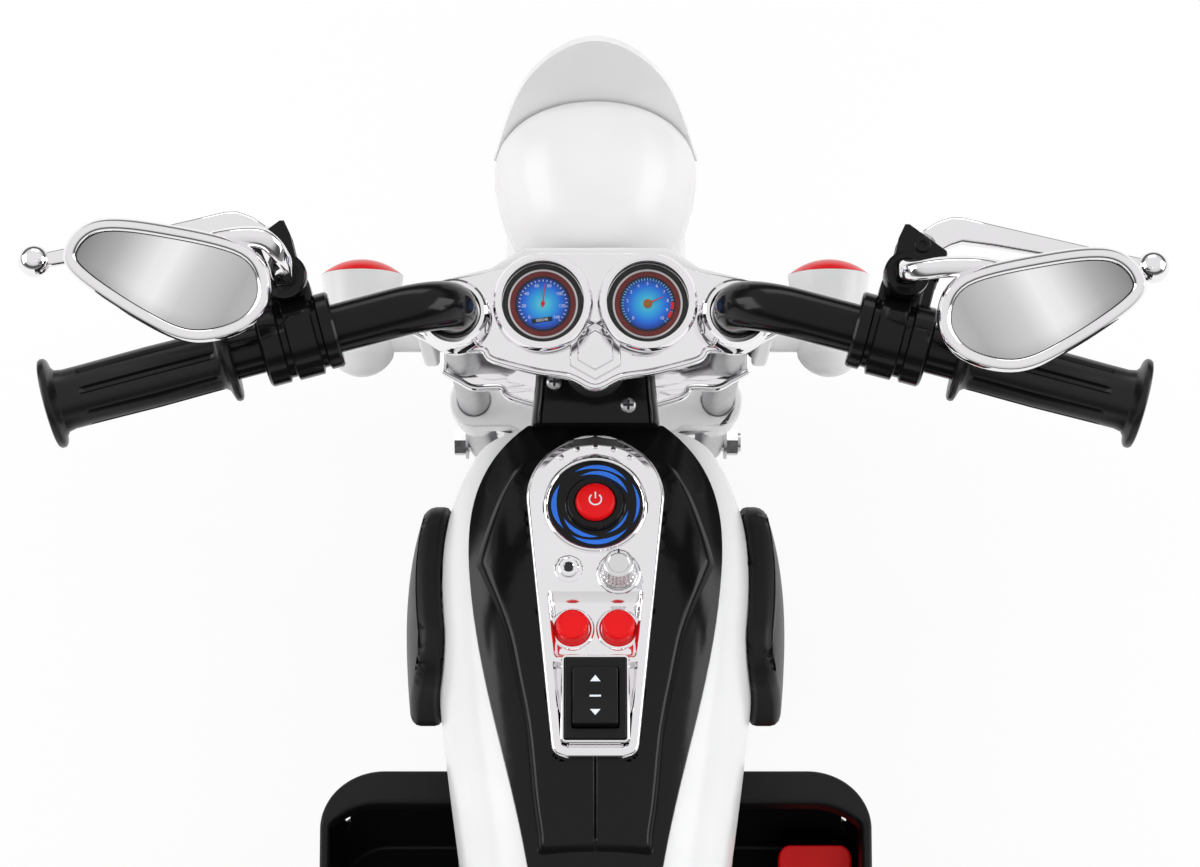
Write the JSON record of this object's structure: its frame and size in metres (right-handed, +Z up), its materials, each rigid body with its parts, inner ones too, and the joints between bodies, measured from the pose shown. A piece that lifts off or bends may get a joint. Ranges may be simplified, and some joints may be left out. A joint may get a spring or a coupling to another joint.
{
  "type": "ride-on motorbike toy",
  "caption": "Child's battery ride-on motorbike with a steered front wheel, twin gauges, mirrors, brake levers, a console with push buttons and a foot pedal that drives one rear wheel.",
  "frame": {"origin": "on the floor, under the middle of the whole object", "axes": "+Y forward, +X to the rider's right, +Z up"},
  "size_m": [0.4825, 0.8724, 0.5592],
  "materials": {
    "white": "gloss moulded white",
    "black_gloss": "gloss moulded black",
    "black": "satin moulded black",
    "grip": "ribbed",
    "chrome": "plated plastic",
    "steel": "satin",
    "red": "gloss moulded red",
    "red_lens": "tinted clear",
    "clear": "clear plastic",
    "mirror": "silvered plastic",
    "dial": "printed blue",
    "tyre": "blow-moulded tread",
    "frame_paint": "satin black",
    "battery_case": "plain",
    "circuit": "varnished"
  },
  "bodies": {
    "bike": {"chassis": "black", "main_frame": "frame_paint", "neck_cover": "black_gloss", "body_screws": "steel", "tank_top": "black_gloss", "tank_sides": "white", "knee_pads": "black_gloss", "console_panel": "chrome", "start_dish": "black_gloss", "audio_jack": "steel", "switch_housing": "black_gloss", "footboard_left": "black", "footboard_right": "black", "seat": "black", "rear_body": "white", "tail_lamp": "red_lens", "rear_axle": "steel", "gearbox_housing": "black", "motor": "frame_paint", "battery": "battery_case", "control_board": "circuit"},
    "fork": {"steering_stem": "steel", "stem_nut": "chrome", "top_clamp": "chrome", "lower_clamp": "chrome", "fork_yoke": "white", "fork_tubes": "steel", "front_axle": "steel", "gauge_housing": "chrome", "gauge_dials": "dial", "gauge_lenses": "clear", "handlebars": "black", "grips": "grip", "control_clamp_left": "black", "control_clamp_right": "black", "fork_cowl": "white", "headlamp_bowl": "white", "headlamp_reflector": "chrome", "headlamp_lens": "clear", "fly_screen": "white", "indicator_housings": "white", "indicator_lenses": "red_lens", "front_fender": "white"},
    "front_wheel": {"front_tyre": "tyre", "front_rim": "chrome"},
    "left_wheel": {"rear_wheel_left": "tyre"},
    "right_wheel": {"rear_wheel_right": "tyre"},
    "pinion": {"motor_pinion": "steel"},
    "pedal": {"pedal": "red"},
    "start_button": {"start_button": "red"},
    "horn_button": {"horn_button": "red"},
    "music_button": {"music_button": "red"},
    "rocker": {"switch_rocker": "red"},
    "knob": {"volume_knob": "chrome"},
    "left_lever": {"lever_left": "chrome"},
    "right_lever": {"lever_right": "chrome"},
    "left_mirror": {"mirror_shell_left": "chrome", "mirror_glass_left": "mirror"},
    "right_mirror": {"mirror_shell_right": "chrome", "mirror_glass_right": "mirror"}
  },
  "joints": [
    {"name": "steering", "type": "hinge", "parent": "bike", "child": "fork", "pos_m": [0, 0.30742, 0.10886], "axis": [0, -0.4384, 0.8988], "range_deg": [-30, 30]},
    {"name": "front_wheel_spin", "type": "hinge", "parent": "fork", "child": "front_wheel", "pos_m": [0, 0.32, 0.115], "axis": [1, 0, 0], "continuous": true},
    {"name": "left_wheel_spin", "type": "hinge", "parent": "bike", "child": "left_wheel", "pos_m": [-0.15, -0.3, 0.1], "axis": [1, 0, 0], "continuous": true},
    {"name": "right_wheel_spin", "type": "hinge", "parent": "bike", "child": "right_wheel", "pos_m": [0.15, -0.3, 0.1], "axis": [1, 0, 0], "continuous": true},
    {"name": "pinion_spin", "type": "hinge", "parent": "bike", "child": "pinion", "pos_m": [0.062, -0.25185, 0.1], "axis": [1, 0, 0], "continuous": true},
    {"name": "pedal_press", "type": "hinge", "parent": "bike", "child": "pedal", "pos_m": [0.1064, 0.014, 0.117], "axis": [-1, 0, 0], "range_deg": [0, 12], "stiffness_Nm_per_rad": 2, "springref_deg": -5.73},
    {"name": "start_press", "type": "slide", "parent": "bike", "child": "start_button", "axis": [0, 0.1616, -0.9869], "range_m": [0, 0.003], "stiffness_N_per_m": 300, "springref_m": -0.003},
    {"name": "horn_press", "type": "slide", "parent": "bike", "child": "horn_button", "axis": [0, 0.1616, -0.9869], "range_m": [0, 0.003], "stiffness_N_per_m": 300, "springref_m": -0.003},
    {"name": "music_press", "type": "slide", "parent": "bike", "child": "music_button", "axis": [0, 0.1616, -0.9869], "range_m": [0, 0.003], "stiffness_N_per_m": 300, "springref_m": -0.003},
    {"name": "power_rock", "type": "hinge", "parent": "bike", "child": "rocker", "pos_m": [0, 0.0071, 0.38558], "axis": [1, 0, 0], "range_deg": [-10, 10]},
    {"name": "volume_turn", "type": "hinge", "parent": "bike", "child": "knob", "pos_m": [0.01, 0.06422, 0.39493], "axis": [0, -0.1616, 0.9869], "range_deg": [-140, 140]},
    {"name": "left_lever_pull", "type": "hinge", "parent": "fork", "child": "left_lever", "pos_m": [-0.13694, 0.1552, 0.50859], "axis": [0, -0.4384, 0.8988], "range_deg": [0, 14], "stiffness_Nm_per_rad": 3, "springref_deg": -5.73},
    {"name": "left_mirror_turn", "type": "hinge", "parent": "fork", "child": "left_mirror", "pos_m": [-0.12803, 0.12693, 0.52595], "axis": [0, -0.4384, 0.8988], "range_deg": [-25, 25]},
    {"name": "right_lever_pull", "type": "hinge", "parent": "fork", "child": "right_lever", "pos_m": [0.13661, 0.15606, 0.50401], "axis": [-0.0271, 0.3452, -0.9381], "range_deg": [0, 14], "stiffness_Nm_per_rad": 3, "springref_deg": -5.73},
    {"name": "right_mirror_turn", "type": "hinge", "parent": "fork", "child": "right_mirror", "pos_m": [0.12848, 0.12959, 0.52435], "axis": [0.0271, -0.3452, 0.9381], "range_deg": [-25, 25]}
  ],
  "couplings": [
    {"joint": "pinion_spin", "follows": "right_wheel_spin", "ratio": -3}
  ]
}
